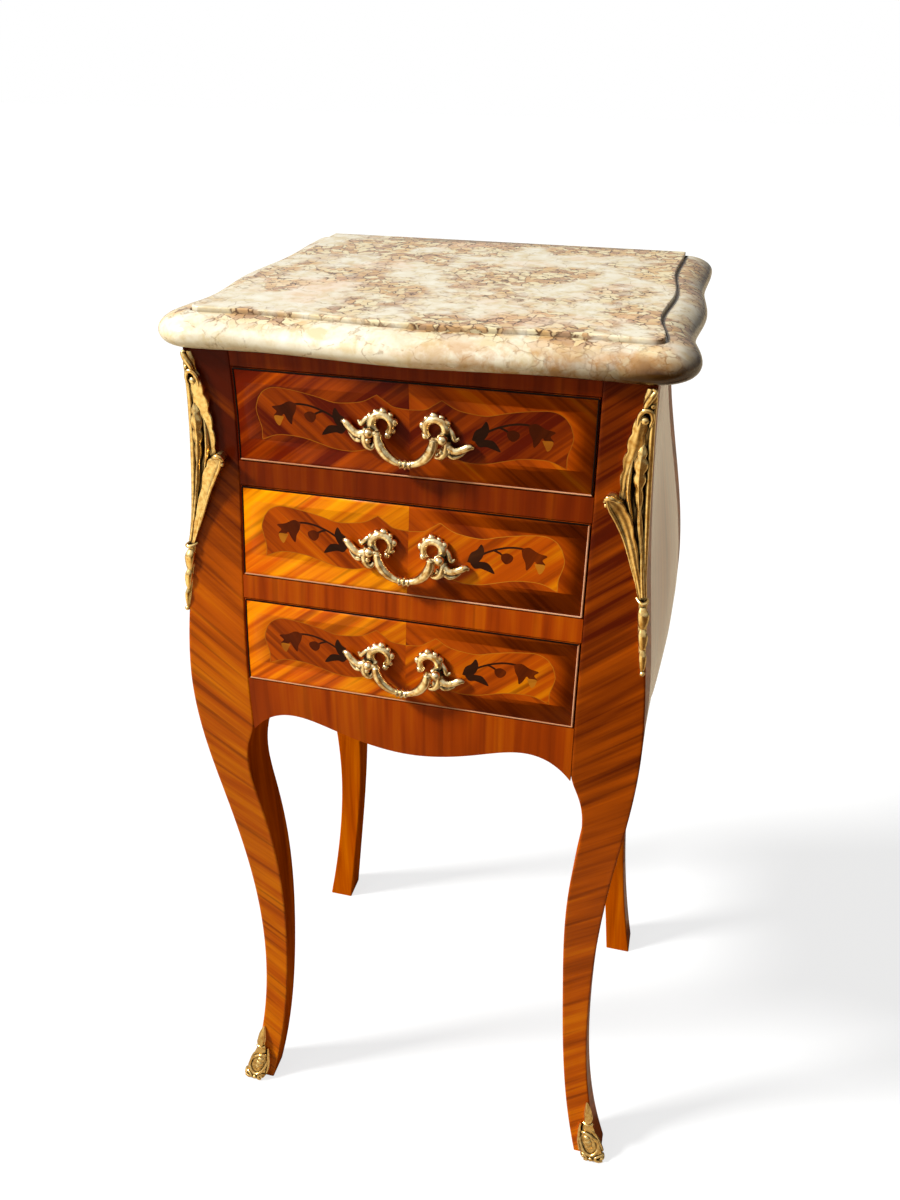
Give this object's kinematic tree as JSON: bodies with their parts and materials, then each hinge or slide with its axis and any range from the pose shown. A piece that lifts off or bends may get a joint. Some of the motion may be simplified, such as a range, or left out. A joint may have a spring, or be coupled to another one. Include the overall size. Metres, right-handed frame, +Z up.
{
  "type": "nightstand",
  "caption": "Small nightstand with a swelling front and sides, cabriole legs, sliding drawers with drop handles, a moulded marble top and cast corner mounts and shoes.",
  "frame": {"origin": "on the floor, under the middle of the box round all the pieces", "axes": "+X to the right for someone in front of it, -Y out of the front, +Z up"},
  "size_m": [0.3478, 0.3152, 0.732],
  "materials": {
    "marble": "polished veined marble",
    "case_veneer": "polished veneer",
    "drawer_veneer": "polished marquetry",
    "carcase_wood": "plain planed wood",
    "gilt_bronze": "worn gilt casting"
  },
  "bodies": {
    "case": {"marble_top": "marble", "leg_front_right": "case_veneer", "leg_front_left": "case_veneer", "leg_back_right": "case_veneer", "leg_back_left": "case_veneer", "side_panel_right": "case_veneer", "side_panel_left": "case_veneer", "back_panel": "carcase_wood", "front_apron": "case_veneer", "bottom_rail_front": "carcase_wood", "top_rail_back": "carcase_wood", "bottom_rail_back": "carcase_wood", "bottom_board": "carcase_wood", "drawer_kickers": "carcase_wood", "corner_mount_right": "gilt_bronze", "corner_mount_left": "gilt_bronze", "shoe_right": "gilt_bronze", "shoe_left": "gilt_bronze", "top_rail_front": "case_veneer", "drawer_rail_upper": "case_veneer", "drawer_rail_lower": "case_veneer", "drawer_runners_upper": "carcase_wood", "drawer_runners_middle": "carcase_wood", "drawer_runners_lower": "carcase_wood", "drawer_stops": "carcase_wood"},
    "drawer_upper": {"drawer_upper_front": "drawer_veneer", "drawer_upper_side_right": "carcase_wood", "drawer_upper_side_left": "carcase_wood", "drawer_upper_back": "carcase_wood", "drawer_upper_bottom": "carcase_wood", "handle_upper_plate_right": "gilt_bronze", "handle_upper_plate_left": "gilt_bronze", "handle_upper_nuts": "gilt_bronze"},
    "bail_upper": {"handle_upper_bail": "gilt_bronze"},
    "drawer_middle": {"drawer_middle_front": "drawer_veneer", "drawer_middle_side_right": "carcase_wood", "drawer_middle_side_left": "carcase_wood", "drawer_middle_back": "carcase_wood", "drawer_middle_bottom": "carcase_wood", "handle_middle_plate_right": "gilt_bronze", "handle_middle_plate_left": "gilt_bronze", "handle_middle_nuts": "gilt_bronze"},
    "bail_middle": {"handle_middle_bail": "gilt_bronze"},
    "drawer_lower": {"drawer_lower_front": "drawer_veneer", "drawer_lower_side_right": "carcase_wood", "drawer_lower_side_left": "carcase_wood", "drawer_lower_back": "carcase_wood", "drawer_lower_bottom": "carcase_wood", "handle_lower_plate_right": "gilt_bronze", "handle_lower_plate_left": "gilt_bronze", "handle_lower_nuts": "gilt_bronze"},
    "bail_lower": {"handle_lower_bail": "gilt_bronze"}
  },
  "joints": [
    {"name": "drawer_upper_slide", "type": "slide", "parent": "case", "child": "drawer_upper", "axis": [0, -1, 0], "range_m": [0, 0.15]},
    {"name": "bail_upper_hinge", "type": "hinge", "parent": "drawer_upper", "child": "bail_upper", "pos_m": [0, -0.13559, 0.66595], "axis": [-1, 0, 0], "range_deg": [0, 90]},
    {"name": "drawer_middle_slide", "type": "slide", "parent": "case", "child": "drawer_middle", "axis": [0, -1, 0], "range_m": [0, 0.15]},
    {"name": "bail_middle_hinge", "type": "hinge", "parent": "drawer_middle", "child": "bail_middle", "pos_m": [0, -0.14327, 0.58614], "axis": [-1, 0, 0], "range_deg": [0, 90]},
    {"name": "drawer_lower_slide", "type": "slide", "parent": "case", "child": "drawer_lower", "axis": [0, -1, 0], "range_m": [0, 0.15]},
    {"name": "bail_lower_hinge", "type": "hinge", "parent": "drawer_lower", "child": "bail_lower", "pos_m": [0, -0.15381, 0.50463], "axis": [-1, 0, 0], "range_deg": [0, 90]}
  ]
}
